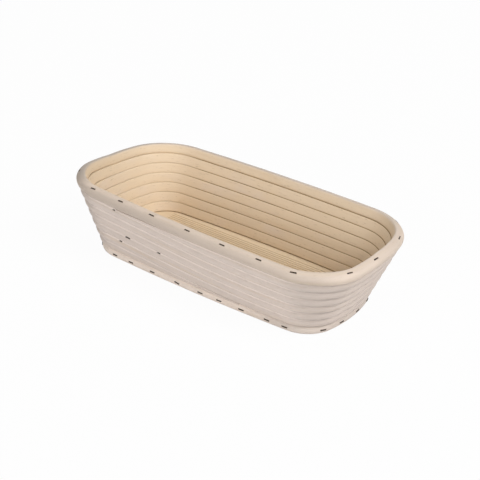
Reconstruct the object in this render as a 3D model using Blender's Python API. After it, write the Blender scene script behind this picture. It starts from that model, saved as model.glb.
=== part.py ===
"""A long rattan proofing basket in metres, +Z up, with its origin under the middle of the floor.

One round cane is wound upwards into a wall that leans outwards. The wall stands on a foot cane,
stapled round the edge of a wooden floor board, and a heavier rim cane is stapled on top of it.
"""

import math

import bmesh
import bpy
import numpy as np
from mathutils import Matrix, Vector

# Clearances: between pieces that touch, and between one turn of the wall and the next
SEAT_GAP = 0.0003
TURN_GAP = 0.00055

# Wall cane, wound in level turns that each lie a step further out than the one below, and more so at the ends
WALL_TURNS = 6
WALL_CANE_DIAMETER = 0.0103
WALL_STEP_OUT = 0.00355
WALL_END_STEP_OUT = 0.0041

# Plan of the lowest wall turn along the middle of its cane: the sides and ends bow out by these half angles
BASE_HALF_LENGTH = 0.1470
BASE_HALF_WIDTH = 0.0627
BASE_CORNER_RADIUS = 0.0335
SIDE_BOW = math.radians(3.0)
END_BOW = math.radians(11.7)

# Stretch of the front where each turn climbs to the next, and the shaved tips at the cane's two ends
CLIMB_LENGTH = 0.194
CLIMB_FROM_CORNER = 0.002
CLIMB_EASE = 0.35
TIP_DIAMETER = 0.0020

# Rim cane, one turn on top of the wall, with a long oblique joint at the middle of the back
RIM_CANE_DIAMETER = 0.0110
RIM_STEP_OUT = 0.0034
RIM_JOINT_X = 0.006
RIM_JOINT_LENGTH = 0.027

# Foot cane, one turn under the wall, flattened underneath, with its oblique joint at the back too
FOOT_CANE_DIAMETER = 0.0100
FOOT_STEP_IN = 0.0025
FOOT_FLAT_DEPTH = 0.0008
FOOT_JOINT_X = -0.013
FOOT_JOINT_LENGTH = 0.018

# Floor board inside the foot cane, with lengthwise V grooves, twice as wide as deep, inside plain margins
BOARD_THICKNESS = 0.0095
BOARD_EDGE_ROUND = 0.0006
GROOVE_PITCH = 0.0027
GROOVE_DEPTH = 0.00065
GROOVE_SIDE_MARGIN = 0.0125
GROOVE_END_MARGIN = 0.0190

# Staples: flat wire bent to a U, with a crown along the cane and two legs driven into it.
# Those of the rim and the wall lean outwards from the vertical, so that their legs reach the middle of a cane.
STAPLE_CROWN = 0.0070
STAPLE_WIRE_WIDTH = 0.0012
STAPLE_WIRE_THICKNESS = 0.0007
LEG_CLEARANCE = 0.0003
RIM_STAPLES = 21
RIM_STAPLE_FIRST_X = 0.0035
RIM_STAPLE_LEAN = math.radians(22.0)
RIM_STAPLE_BITE = 0.0055
FOOT_STAPLES = 27
FOOT_STAPLE_FIRST_X = 0.0033
FOOT_STAPLE_BITE = 0.0070
WALL_STAPLE_LEG = 0.0075
WALL_STAPLE_LEAN = math.radians(55.0)
# Each wall staple: the turn that it starts from, and how far before the climb's end it sits
WALL_STAPLE_PLACES = ((0, 0.0135), (1, 0.028), (1, 0.0685), (WALL_TURNS - 2, 0.018))

# Facets: straight steps in each stretch of one turn, and sides round each cane
CORNER_STEPS = 6
END_STEPS = 3
SIDE_STEPS = 4
CLIMB_STEPS = 7
WALL_BEVEL_RESOLUTION = 2
RIM_BEVEL_RESOLUTION = 4
FOOT_BEVEL_RESOLUTION = 3

# Sizes that follow from the ones above
WALL_RADIUS = WALL_CANE_DIAMETER / 2
RIM_RADIUS = RIM_CANE_DIAMETER / 2
FOOT_RADIUS = FOOT_CANE_DIAMETER / 2
TURN_PITCH = WALL_CANE_DIAMETER + TURN_GAP
WALL_STEP_UP = math.sqrt(TURN_PITCH**2 - WALL_STEP_OUT**2)
FOOT_Z = FOOT_RADIUS - FOOT_FLAT_DEPTH
FIRST_TURN_Z = FOOT_Z + math.sqrt((FOOT_RADIUS + WALL_RADIUS + SEAT_GAP) ** 2 - FOOT_STEP_IN**2)
TOP_LEVEL = WALL_TURNS - 1
TOP_TURN_Z = FIRST_TURN_Z + TOP_LEVEL * WALL_STEP_UP
RIM_OUT = TOP_LEVEL * WALL_STEP_OUT + RIM_STEP_OUT
RIM_Z = TOP_TURN_Z + math.sqrt((RIM_RADIUS + WALL_RADIUS + SEAT_GAP) ** 2 - RIM_STEP_OUT**2)
BOARD_IN = FOOT_STEP_IN + FOOT_RADIUS + SEAT_GAP
END_STRETCH = (WALL_END_STEP_OUT / WALL_STEP_OUT - 1) / BASE_HALF_LENGTH


# Plan outline: three tangent arcs in each quarter, described by the direction of the outward normal

def bow_radii():
    """Radii of the long side's arc and of the end's arc, which meet the corner arc tangentially."""
    to_corner = np.array(
        [
            BASE_HALF_LENGTH - BASE_CORNER_RADIUS * (math.cos(END_BOW) - math.sin(SIDE_BOW)),
            BASE_HALF_WIDTH - BASE_CORNER_RADIUS * (math.cos(SIDE_BOW) - math.sin(END_BOW)),
        ]
    )
    shares = np.array(
        [
            [math.sin(SIDE_BOW), 1 - math.cos(END_BOW)],
            [1 - math.cos(SIDE_BOW), math.sin(END_BOW)],
        ]
    )
    return [float(radius) for radius in np.linalg.solve(shares, to_corner)]


SIDE_RADIUS, END_RADIUS = bow_radii()
SIDE_HALF_RUN = SIDE_RADIUS * math.sin(SIDE_BOW)


def normal_at(angle):
    return Vector((math.cos(angle), math.sin(angle), 0))


def plan_point(angle, out):
    """Point where the outline's normal has this direction, on a turn that lies this much further out."""
    normal = normal_at(angle)
    turned = math.atan2(abs(normal.y), abs(normal.x))
    if turned <= END_BOW:
        centre = (BASE_HALF_LENGTH - END_RADIUS, 0)
        radius = END_RADIUS
    elif turned >= math.pi / 2 - SIDE_BOW:
        centre = (0, BASE_HALF_WIDTH - SIDE_RADIUS)
        radius = SIDE_RADIUS
    else:
        reach = END_RADIUS - BASE_CORNER_RADIUS
        centre = (
            BASE_HALF_LENGTH - END_RADIUS + reach * math.cos(END_BOW),
            reach * math.sin(END_BOW),
        )
        radius = BASE_CORNER_RADIUS
    middle = Vector((math.copysign(1, normal.x) * centre[0], math.copysign(1, normal.y) * centre[1], 0))
    point = middle + normal * (radius + out)
    point.x *= 1 + END_STRETCH * out
    return point


def front_angle(x):
    """Direction of the normal at this place along the front side."""
    return math.asin(x / SIDE_RADIUS) - math.pi / 2


def stretch(first, last, steps):
    """Directions from first towards last in equal steps, without last."""
    return [first + (last - first) * i / steps for i in range(steps)]


def round_once(first, last, first_steps):
    """Directions of one turn, clockwise from above, from one place on the front round to another."""
    quarter = math.pi / 2
    angles = stretch(first, -quarter - SIDE_BOW, first_steps)
    angles += stretch(-quarter - SIDE_BOW, -2 * quarter + END_BOW, CORNER_STEPS)
    angles += stretch(-2 * quarter + END_BOW, -2 * quarter - END_BOW, END_STEPS)
    angles += stretch(-2 * quarter - END_BOW, -3 * quarter + SIDE_BOW, CORNER_STEPS)
    angles += stretch(-3 * quarter + SIDE_BOW, -3 * quarter - SIDE_BOW, SIDE_STEPS)
    angles += stretch(-3 * quarter - SIDE_BOW, -4 * quarter + END_BOW, CORNER_STEPS)
    angles += stretch(-4 * quarter + END_BOW, -4 * quarter - END_BOW, END_STEPS)
    angles += stretch(-4 * quarter - END_BOW, -5 * quarter + SIDE_BOW, CORNER_STEPS)
    angles += stretch(-5 * quarter + SIDE_BOW, last - 4 * quarter, SIDE_STEPS // 2)
    return angles


def spaced_angles(out, count, first_x):
    """Directions at equal distances along the outline, the first at this place along the front."""
    turn = np.linspace(0, 2 * math.pi, 4001) + front_angle(first_x)
    places = np.array([plan_point(float(angle), out) for angle in turn])
    run = np.concatenate([[0], np.cumsum(np.linalg.norm(np.diff(places, axis=0), axis=1))])
    return [float(np.interp(run[-1] * i / count, run, turn)) for i in range(count)]


# Wall path: level turns, joined by a long gentle climb along the front

CLIMB_END_X = CLIMB_FROM_CORNER - SIDE_HALF_RUN
CLIMB_START_X = CLIMB_END_X + CLIMB_LENGTH


def climbed(share):
    """Part of the climb done after this share of its length, eased at both ends and level beyond them."""
    share = min(max(share, 0), 1)
    return share - CLIMB_EASE * math.sin(2 * math.pi * share) / (2 * math.pi)


def climb_angle(share):
    return front_angle(CLIMB_START_X - share * CLIMB_LENGTH)


def wall_point(angle, level):
    """Middle of the wall cane in this direction, at a level counted in turns from the lowest."""
    point = plan_point(angle, level * WALL_STEP_OUT)
    point.z = FIRST_TURN_Z + level * WALL_STEP_UP
    return point


def share_with_room(room):
    """Share of the climb by which this much of a turn's pitch has opened."""
    shares = np.linspace(0, 1, 1001)
    return float(np.interp(room, [climbed(share) for share in shares], shares))


def wall_path():
    """Points and radii of the whole wound cane, from its lower tip to its upper tip."""
    points = []
    radii = []
    tip_share = share_with_room((TIP_DIAMETER + TURN_GAP) / TURN_PITCH)
    for i in range(CLIMB_STEPS):
        share = tip_share + (1 - tip_share) * i / CLIMB_STEPS
        radius = (climbed(share) * TURN_PITCH - TURN_GAP) / 2
        points.append(wall_point(climb_angle(share), (radius - WALL_RADIUS) / TURN_PITCH))
        radii.append(radius)
    for turn in range(WALL_TURNS):
        for angle in round_once(front_angle(CLIMB_END_X), front_angle(CLIMB_START_X), 1):
            points.append(wall_point(angle, turn))
            radii.append(WALL_RADIUS)
        if turn == TOP_LEVEL:
            break
        for i in range(CLIMB_STEPS):
            share = i / CLIMB_STEPS
            points.append(wall_point(climb_angle(share), turn + climbed(share)))
            radii.append(WALL_RADIUS)
    for i in range(CLIMB_STEPS + 1):
        share = (1 - tip_share) * i / CLIMB_STEPS
        radius = ((1 - climbed(share)) * TURN_PITCH - TURN_GAP) / 2
        points.append(wall_point(climb_angle(share), TOP_LEVEL + (WALL_RADIUS - radius) / TURN_PITCH))
        radii.append(radius)
    return points, radii


def least_gap(points, radii, fill=4):
    """Smallest clear distance between one turn of the path and another."""
    places = np.array(points)
    spots = np.linspace(0, len(places) - 1, (len(places) - 1) * fill + 1)
    indices = np.arange(len(places))
    dense = np.stack([np.interp(spots, indices, places[:, axis]) for axis in range(3)], axis=1)
    thick = np.interp(spots, indices, radii)
    run = np.concatenate([[0], np.cumsum(np.linalg.norm(np.diff(dense, axis=0), axis=1))])
    clear = np.linalg.norm(dense[:, None] - dense[None], axis=2) - thick[:, None] - thick[None]
    other_turn = np.abs(run[:, None] - run[None]) > CLIMB_LENGTH
    return float(clear[other_turn].min())


# Blender objects

def start_scene():
    for obj in list(bpy.data.objects):
        bpy.data.objects.remove(obj, do_unlink=True)
    basket = bpy.data.objects.new("basket", None)
    bpy.context.scene.collection.objects.link(basket)
    return basket


def finish(name, colour, roughness, metallic):
    material = bpy.data.materials.new(name)
    material.use_nodes = True
    shader = material.node_tree.nodes["Principled BSDF"]
    shader.inputs["Base Color"].default_value = (*colour, 1)
    shader.inputs["Roughness"].default_value = roughness
    shader.inputs["Metallic"].default_value = metallic
    return material


def add_piece(name, mesh, material, parent):
    obj = bpy.data.objects.new(name, mesh)
    bpy.context.scene.collection.objects.link(obj)
    obj.parent = parent
    mesh.materials.clear()
    mesh.materials.append(material)
    mesh.shade_smooth()
    mesh.set_sharp_from_angle(angle=math.radians(50))
    return obj


def mesh_from(name, shape):
    """Mesh of a bmesh, with coincident points merged and its faces turned outwards."""
    bmesh.ops.remove_doubles(shape, verts=shape.verts, dist=1e-6)
    bmesh.ops.recalc_face_normals(shape, faces=shape.faces)
    mesh = bpy.data.meshes.new(name)
    shape.to_mesh(mesh)
    shape.free()
    return mesh


def cane_mesh(name, points, radii, closed, bevel_resolution, roll):
    """Round cane along a path: a bevelled curve made a mesh, its section turned by roll."""
    curve = bpy.data.curves.new(name, "CURVE")
    curve.dimensions = "3D"
    curve.twist_mode = "Z_UP"
    curve.bevel_depth = max(radii)
    curve.bevel_resolution = bevel_resolution
    curve.use_fill_caps = not closed
    spline = curve.splines.new("POLY")
    spline.points.add(len(points) - 1)
    spline.use_cyclic_u = closed
    for knot, point, radius in zip(spline.points, points, radii):
        knot.co = (*point, 1)
        knot.radius = radius / max(radii)
        knot.tilt = roll
    guide = bpy.data.objects.new(name, curve)
    bpy.context.scene.collection.objects.link(guide)
    tube = bpy.data.meshes.new_from_object(guide.evaluated_get(bpy.context.evaluated_depsgraph_get()))
    shape = bmesh.new()
    shape.from_mesh(tube)
    bpy.data.meshes.remove(tube)
    bpy.data.objects.remove(guide)
    bpy.data.curves.remove(curve)
    return mesh_from(name, shape)


def box_mesh(name, places):
    """One mesh of separate boxes, each given by a matrix that shapes a unit cube."""
    shape = bmesh.new()
    for place in places:
        bmesh.ops.create_cube(shape, size=1, matrix=place)
    return mesh_from(name, shape)


def cut(obj, name, places, parent):
    """Cuts boxes out of an object with a Boolean, whose cutter stays as a hidden wire guide."""
    cutter = bpy.data.objects.new(name, box_mesh(name, places))
    bpy.context.scene.collection.objects.link(cutter)
    cutter.parent = parent
    cutter.hide_render = True
    cutter.display_type = "WIRE"
    boolean = obj.modifiers.new(name, "BOOLEAN")
    boolean.operation = "DIFFERENCE"
    boolean.solver = "EXACT"
    boolean.object = cutter


def box_at(centre, turn, sizes):
    return Matrix.Translation(centre) @ turn.to_4x4() @ Matrix.Diagonal((*sizes, 1))


def ring_path(out, height, inset=0):
    """Points of one closed level turn, or of an outline that keeps this far inside it."""
    middle = front_angle(0)
    points = []
    for angle in round_once(middle, middle, SIDE_STEPS // 2):
        points.append(plan_point(angle, out) - inset * normal_at(angle) + Vector((0, 0, height)))
    return points


def oblique_slit(x, out, height, length, diameter):
    """Thin slab across the back of a closed turn, where the two shaved ends of its cane meet."""
    centre = plan_point(math.pi / 2 - math.asin(x / SIDE_RADIUS), out) + Vector((0, 0, height))
    slope = math.atan2(diameter, length)
    along = 2 * math.hypot(length, diameter)
    return box_at(centre, Matrix.Rotation(slope, 3, "Y"), (along, 2 * diameter, SEAT_GAP))


# Staples

def staple_mesh(name, leg):
    """U of flat wire: the crown lies along X on the plane z = 0, and the legs point down."""
    half = STAPLE_CROWN / 2
    wire = STAPLE_WIRE_THICKNESS
    profile = (
        (-half, -leg),
        (wire - half, -leg),
        (wire - half, 0),
        (half - wire, 0),
        (half - wire, -leg),
        (half, -leg),
        (half, wire),
        (-half, wire),
    )
    shape = bmesh.new()
    corners = [shape.verts.new((x, -STAPLE_WIRE_WIDTH / 2, z)) for x, z in profile]
    front = shape.faces.new(corners)
    swept = bmesh.ops.extrude_face_region(shape, geom=[front])
    moved = [item for item in swept["geom"] if isinstance(item, bmesh.types.BMVert)]
    bmesh.ops.translate(shape, verts=moved, vec=(0, STAPLE_WIRE_WIDTH, 0))
    return mesh_from(name, shape)


def staple_place(seat, along, outwards):
    """Place of a staple whose crown runs along the cane and whose legs point against outwards."""
    up = outwards.normalized()
    crown = (along - along.dot(up) * up).normalized()
    turn = Matrix((crown, up.cross(crown), up)).transposed()
    return Matrix.Translation(seat) @ turn.to_4x4()


def leg_holes(places, leg):
    """Boxes round the legs of staples at these places, open at the crown."""
    mouth = STAPLE_WIRE_THICKNESS
    depth = mouth + leg + LEG_CLEARANCE
    side = (STAPLE_CROWN - STAPLE_WIRE_THICKNESS) / 2
    sizes = (STAPLE_WIRE_THICKNESS + 2 * LEG_CLEARANCE, STAPLE_WIRE_WIDTH + 2 * LEG_CLEARANCE, depth)
    holes = []
    for place in places:
        for offset in (-side, side):
            middle = place @ Matrix.Translation((offset, 0, mouth - depth / 2))
            holes.append(middle @ Matrix.Diagonal((*sizes, 1)))
    return holes


def add_staples(name, places, leg, material, parent):
    for i, place in enumerate(places, start=1):
        staple = add_piece(f"{name}_{i:02d}", staple_mesh(name, leg), material, parent)
        staple.matrix_local = place


def along_at(angle):
    return Vector((-math.sin(angle), math.cos(angle), 0))


def leaning(angle, lean):
    """Direction that leans outwards from the vertical at this place round the basket."""
    return math.sin(lean) * normal_at(angle) + Vector((0, 0, math.cos(lean)))


def rim_staple_places():
    places = []
    for angle in spaced_angles(RIM_OUT, RIM_STAPLES, RIM_STAPLE_FIRST_X):
        middle = plan_point(angle, RIM_OUT) + Vector((0, 0, RIM_Z))
        outwards = leaning(angle, RIM_STAPLE_LEAN)
        places.append(staple_place(middle + (RIM_RADIUS + SEAT_GAP) * outwards, along_at(angle), outwards))
    return places


def foot_staple_places():
    places = []
    for angle in spaced_angles(-FOOT_STEP_IN, FOOT_STAPLES, FOOT_STAPLE_FIRST_X):
        middle = plan_point(angle, -FOOT_STEP_IN) + Vector((0, 0, FOOT_Z))
        outwards = normal_at(angle)
        places.append(staple_place(middle + (FOOT_RADIUS + SEAT_GAP) * outwards, along_at(angle), outwards))
    return places


def wall_staple_places():
    places = []
    near = 0.01
    for turn, before_end in WALL_STAPLE_PLACES:
        share = 1 - before_end / CLIMB_LENGTH
        angle = climb_angle(share)
        middle = wall_point(angle, turn + climbed(share))
        ahead = wall_point(climb_angle(share + near), turn + climbed(share + near))
        outwards = leaning(angle, WALL_STAPLE_LEAN)
        places.append(staple_place(middle + (WALL_RADIUS + SEAT_GAP) * outwards, ahead - middle, outwards))
    return places


# Floor board

def board_mesh(name):
    """Flat board inside the foot cane, with its upper and lower edges slightly rounded."""
    shape = bmesh.new()
    rim = [shape.verts.new(point) for point in ring_path(-FOOT_STEP_IN, 0, FOOT_RADIUS + SEAT_GAP)]
    under = shape.faces.new(rim)
    swept = bmesh.ops.extrude_face_region(shape, geom=[under])
    moved = [item for item in swept["geom"] if isinstance(item, bmesh.types.BMVert)]
    bmesh.ops.translate(shape, verts=moved, vec=(0, 0, BOARD_THICKNESS))
    edges = [edge for edge in shape.edges if edge.verts[0].co.z == edge.verts[1].co.z]
    bmesh.ops.bevel(shape, geom=edges, offset=BOARD_EDGE_ROUND, segments=1, affect="EDGES")
    return mesh_from(name, shape)


def groove_places():
    """Square bars laid on edge along the board's upper face, each of which cuts one V groove."""
    room = BASE_HALF_WIDTH - BOARD_IN - GROOVE_SIDE_MARGIN
    each_side = int(room / GROOVE_PITCH)
    length = 2 * (BASE_HALF_LENGTH - BOARD_IN - GROOVE_END_MARGIN)
    side = math.sqrt(2) * GROOVE_DEPTH
    on_edge = Matrix.Rotation(math.radians(45), 3, "X")
    bars = []
    for i in range(-each_side, each_side + 1):
        bars.append(box_at(Vector((0, i * GROOVE_PITCH, BOARD_THICKNESS)), on_edge, (length, side, side)))
    return bars


# Assembly

basket = start_scene()
cane_finish = finish("rattan_cane", (0.62, 0.50, 0.37), 0.6, 0.0)
board_finish = finish("floor_wood", (0.55, 0.41, 0.26), 0.65, 0.0)
staple_finish = finish("staple_wire", (0.08, 0.06, 0.05), 0.45, 1.0)

rim_leg = RIM_CANE_DIAMETER + 2 * SEAT_GAP + RIM_STAPLE_BITE
foot_leg = FOOT_CANE_DIAMETER + 2 * SEAT_GAP + FOOT_STAPLE_BITE
rim_places = rim_staple_places()
foot_places = foot_staple_places()
wall_places = wall_staple_places()

board = add_piece("floor_board", board_mesh("floor_board"), board_finish, basket)
cut(board, "board_leg_holes", leg_holes(foot_places, foot_leg), basket)
cut(board, "board_grooves", groove_places(), basket)

foot_points = ring_path(-FOOT_STEP_IN, FOOT_Z)
foot_radii = [FOOT_RADIUS] * len(foot_points)
foot_mesh = cane_mesh("foot_cane", foot_points, foot_radii, True, FOOT_BEVEL_RESOLUTION, 0)
foot = add_piece("foot_cane", foot_mesh, cane_finish, basket)
ground = box_at(
    Vector((0, 0, -FOOT_RADIUS / 2)),
    Matrix.Identity(3),
    (4 * BASE_HALF_LENGTH, 4 * BASE_HALF_WIDTH, FOOT_RADIUS),
)
foot_slit = oblique_slit(FOOT_JOINT_X, -FOOT_STEP_IN, FOOT_Z, FOOT_JOINT_LENGTH, FOOT_CANE_DIAMETER)
cut(foot, "foot_underside", [ground], basket)
cut(foot, "foot_joint", [foot_slit], basket)
cut(foot, "foot_leg_holes", leg_holes(foot_places, foot_leg), basket)

wall_points, wall_radii = wall_path()
wall_lean = math.atan2(WALL_STEP_OUT, WALL_STEP_UP)
wall_mesh = cane_mesh("wall_cane", wall_points, wall_radii, False, WALL_BEVEL_RESOLUTION, wall_lean)
wall = add_piece("wall_cane", wall_mesh, cane_finish, basket)
cut(wall, "wall_leg_holes", leg_holes(wall_places, WALL_STAPLE_LEG), basket)
cut(wall, "wall_rim_leg_holes", leg_holes(rim_places, rim_leg), basket)
print(f"wall cane: least gap between turns {1000 * least_gap(wall_points, wall_radii):.2f} mm")

rim_points = ring_path(RIM_OUT, RIM_Z)
rim_radii = [RIM_RADIUS] * len(rim_points)
rim_mesh = cane_mesh("rim_cane", rim_points, rim_radii, True, RIM_BEVEL_RESOLUTION, 0)
rim = add_piece("rim_cane", rim_mesh, cane_finish, basket)
rim_slit = oblique_slit(RIM_JOINT_X, RIM_OUT, RIM_Z, RIM_JOINT_LENGTH, RIM_CANE_DIAMETER)
cut(rim, "rim_joint", [rim_slit], basket)
cut(rim, "rim_leg_holes", leg_holes(rim_places, rim_leg), basket)

add_staples("foot_staple", foot_places, foot_leg, staple_finish, basket)
add_staples("wall_staple", wall_places, WALL_STAPLE_LEG, staple_finish, basket)
add_staples("rim_staple", rim_places, rim_leg, staple_finish, basket)
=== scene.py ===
"""A long rattan proofing basket: a cane wound into a wall, on a grooved board, under a rim."""

import math

import bmesh
import bpy
import numpy as np
from mathutils import Matrix, Quaternion, Vector


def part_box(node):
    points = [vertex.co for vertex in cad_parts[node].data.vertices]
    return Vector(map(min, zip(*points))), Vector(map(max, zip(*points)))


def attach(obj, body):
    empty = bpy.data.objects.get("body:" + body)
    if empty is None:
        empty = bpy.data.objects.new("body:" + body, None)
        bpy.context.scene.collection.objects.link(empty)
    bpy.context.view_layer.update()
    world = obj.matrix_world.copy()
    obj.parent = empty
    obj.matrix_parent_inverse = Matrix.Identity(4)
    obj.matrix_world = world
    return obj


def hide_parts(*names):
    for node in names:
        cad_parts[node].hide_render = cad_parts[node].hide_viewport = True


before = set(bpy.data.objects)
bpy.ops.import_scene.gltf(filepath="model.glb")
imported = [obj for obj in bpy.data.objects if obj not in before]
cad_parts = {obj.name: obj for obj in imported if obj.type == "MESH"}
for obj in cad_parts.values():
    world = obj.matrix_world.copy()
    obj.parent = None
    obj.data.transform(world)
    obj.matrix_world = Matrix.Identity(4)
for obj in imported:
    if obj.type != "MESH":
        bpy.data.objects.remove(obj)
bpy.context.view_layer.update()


# Floor board
# A board of pale softwood, sawn to the basket's plan, with a thin lip over the foot cane and under
# the wall. Fine grooves are milled along its upper face, so that the cloth lifts off it.

BASE_HALF_LENGTH = 0.1470
BASE_HALF_WIDTH = 0.0627
BASE_CORNER_RADIUS = 0.0335
SIDE_BOW = math.radians(3.0)
END_BOW = math.radians(11.7)
WALL_STEP_OUT = 0.00355
WALL_END_STEP_OUT = 0.0041
END_STRETCH = (WALL_END_STEP_OUT / WALL_STEP_OUT - 1) / BASE_HALF_LENGTH
SEAT_GAP = 0.0003
FOOT_RADIUS = 0.0050
FOOT_STEP_IN = 0.0025
BOARD_RISE = 0.0005
BOARD_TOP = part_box("floor_board")[1][2] + BOARD_RISE
GROOVE_PITCH = 0.0037
GROOVE_WIDTH = 0.0018
GROOVE_DEPTH = 0.0007
GROOVES_EACH_SIDE = 13
GROOVE_REACH = 0.122
GROOVE_RUN_OUT = 0.006
LIP_WIDTH = 0.0034
LIP_THICKNESS = 0.0008
BOARD_COLUMNS = 41
BOARD_MIDDLE_SHARE = 0.78
BOARD_END_SHARE = 0.80
BOARD_END_COLUMNS = 15
BOARD_EDGE_ANGLES = (math.radians(50), math.radians(89.5))
BOARD_EDGE_ROWS = 14
BOARD_EDGE_SAMPLES = 400
# Depths and brown of the painted shade down in the grooves.
GROOVE_SHADE_DEPTHS = (0.1 * GROOVE_DEPTH, 0.9 * GROOVE_DEPTH)
GROOVE_FLOOR = (BOARD_TOP - 1.2 * GROOVE_DEPTH, BOARD_TOP - 1.1 * GROOVE_DEPTH)
BOARD_PALE = (0.770, 0.620, 0.435, 1)
BOARD_TAN = (0.660, 0.505, 0.330, 1)
GROOVE_SHADE_BROWN = (0.400, 0.270, 0.140, 1)
RING_NOISE = (3, 45, 3.0)
RING_SHARE = 0.7
WOOD_FIBRE_NOISE = (30, 1400, 2.0)
GRAIN_LIMITS = (0.30, 0.70)
BOARD_ROUGHNESS = (0.60, 0.75)
BOARD_BUMP = 0.0001


def bow_radii():
    """Radii of the long side's arc and of the end's arc, which meet the corner arc tangentially."""
    to_corner = (
        BASE_HALF_LENGTH - BASE_CORNER_RADIUS * (math.cos(END_BOW) - math.sin(SIDE_BOW)),
        BASE_HALF_WIDTH - BASE_CORNER_RADIUS * (math.cos(SIDE_BOW) - math.sin(END_BOW)),
    )
    shares = (
        (math.sin(SIDE_BOW), 1 - math.cos(END_BOW)),
        (1 - math.cos(SIDE_BOW), math.sin(END_BOW)),
    )
    return [float(radius) for radius in np.linalg.solve(shares, to_corner)]


SIDE_RADIUS, END_RADIUS = bow_radii()
SIDE_HALF_RUN = SIDE_RADIUS * math.sin(SIDE_BOW)


def normal_at(angle):
    return Vector((math.cos(angle), math.sin(angle), 0))


def plan_point(angle, out):
    """Point where the plan's normal has this direction, on a turn this much further out."""
    normal = normal_at(angle)
    turned = math.atan2(abs(normal.y), abs(normal.x))
    if turned <= END_BOW:
        centre = (BASE_HALF_LENGTH - END_RADIUS, 0)
        radius = END_RADIUS
    elif turned >= math.pi / 2 - SIDE_BOW:
        centre = (0, BASE_HALF_WIDTH - SIDE_RADIUS)
        radius = SIDE_RADIUS
    else:
        reach = END_RADIUS - BASE_CORNER_RADIUS
        centre_x = BASE_HALF_LENGTH - END_RADIUS + reach * math.cos(END_BOW)
        centre = (centre_x, reach * math.sin(END_BOW))
        radius = BASE_CORNER_RADIUS
    mirror = Vector((math.copysign(1, normal.x), math.copysign(1, normal.y), 0))
    point = mirror * Vector((*centre, 0)) + normal * (radius + out)
    point.x *= 1 + END_STRETCH * out
    return point


def board_edge(angle):
    """Edge of the board's upper face: a lip that reaches over the foot cane and under the wall."""
    inset = FOOT_RADIUS + SEAT_GAP - LIP_WIDTH
    return plan_point(angle, -FOOT_STEP_IN) - inset * normal_at(angle)


class Wire:
    """A socket of a node tree. Arithmetic on it adds Math nodes, and add() makes any other node."""

    def __init__(self, tree, socket=None):
        self.tree = tree
        self.socket = socket

    def add(self, kind, settings=None, sockets=None, out=0):
        made = self.tree.nodes.new(kind)
        for name, value in (settings or {}).items():
            setattr(made, name, value)
        for key, value in (sockets or {}).items():
            if isinstance(value, Wire):
                self.tree.links.new(value.socket, made.inputs[key])
            else:
                made.inputs[key].default_value = value
        return Wire(self.tree, made.outputs[out] if made.outputs else None)

    def other(self, name):
        """Another output of the same node."""
        return Wire(self.tree, self.socket.node.outputs[name])

    def math(self, operation, *values):
        sockets = dict(enumerate((self, *values)))
        return self.add("ShaderNodeMath", {"operation": operation}, sockets)

    def __add__(self, value):
        return self.math("ADD", value)

    def __mul__(self, value):
        return self.math("MULTIPLY", value)

    def __sub__(self, value):
        return self.math("SUBTRACT", value)

    def __rsub__(self, value):
        return self * -1 + value

    def __truediv__(self, value):
        return self.math("DIVIDE", value)

    def __rtruediv__(self, value):
        return self**-1 * value

    def __pow__(self, value):
        return self.math("POWER", value)

    def __abs__(self):
        return self.math("ABSOLUTE")

    def between(self, low, high):
        """0 at low, 1 at high, with a smooth step from one to the other."""
        sockets = {"Value": self, "From Min": low, "From Max": high}
        return self.add("ShaderNodeMapRange", {"interpolation_type": "SMOOTHSTEP"}, sockets)

    def spread(self, first, last):
        """From first to last as this value goes from 0 to 1."""
        return self * (last - first) + first

    def tint(self, first, second):
        """Colour from first to second as this value goes from 0 to 1."""
        sockets = {"Factor": self, 6: first, 7: second}
        return self.add("ShaderNodeMix", {"data_type": "RGBA"}, sockets, 2)

    def vector(self, y, z):
        return self.add("ShaderNodeCombineXYZ", None, {"X": self, "Y": y, "Z": z})

    def times(self, factor):
        """This vector, lengthened by a factor."""
        sockets = {"Vector": self, "Scale": factor}
        return self.add("ShaderNodeVectorMath", {"operation": "SCALE"}, sockets)

    def split(self):
        """The X, Y and Z of this vector."""
        x = self.add("ShaderNodeSeparateXYZ", None, {"Vector": self})
        return x, x.other("Y"), x.other("Z")

    def noise(self, scale, detail=2.0, roughness=0.5):
        """Noise at this vector, about 0 to 1."""
        sockets = {"Vector": self, "Scale": scale, "Detail": detail, "Roughness": roughness}
        return self.add("ShaderNodeTexNoise", None, sockets)


def new_finish(name):
    """A node material, a Wire to start its nodes from, and its Principled shader."""
    material = bpy.data.materials.new(name)
    material.use_nodes = True
    return material, Wire(material.node_tree), material.node_tree.nodes["Principled BSDF"]


def connect(shader, colour, roughness, height, distance):
    """Feeds a Principled shader its colour, its roughness and the normal of a bump."""
    bump = height.add("ShaderNodeBump", None, {"Height": height, "Distance": distance})
    links = height.tree.links
    links.new(colour.socket, shader.inputs["Base Color"])
    links.new(roughness.socket, shader.inputs["Roughness"])
    links.new(bump.socket, shader.inputs["Normal"])


def board_finish():
    """Softwood with its grain along the board, with painted shade, brown, down in the grooves."""
    material, start, shader = new_finish("floor_wood")
    x, y, z = start.add("ShaderNodeTexCoord", out="Object").split()

    def noise(along, across, detail):
        return (x * along).vector(y * across, z * across).noise(1.0, detail)

    fibres = noise(*WOOD_FIBRE_NOISE)
    grain = noise(*RING_NOISE) * RING_SHARE + fibres * (1 - RING_SHARE)
    wood = grain.between(*GRAIN_LIMITS).tint(BOARD_PALE, BOARD_TAN)
    # Painted shade: browner the deeper down in a groove.
    groove_shade = (BOARD_TOP - z).between(*GROOVE_SHADE_DEPTHS) * z.between(*GROOVE_FLOOR)
    colour = groove_shade.tint(wood, GROOVE_SHADE_BROWN)
    connect(shader, colour, fibres.spread(*BOARD_ROUGHNESS), fibres, BOARD_BUMP)
    return material


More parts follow.
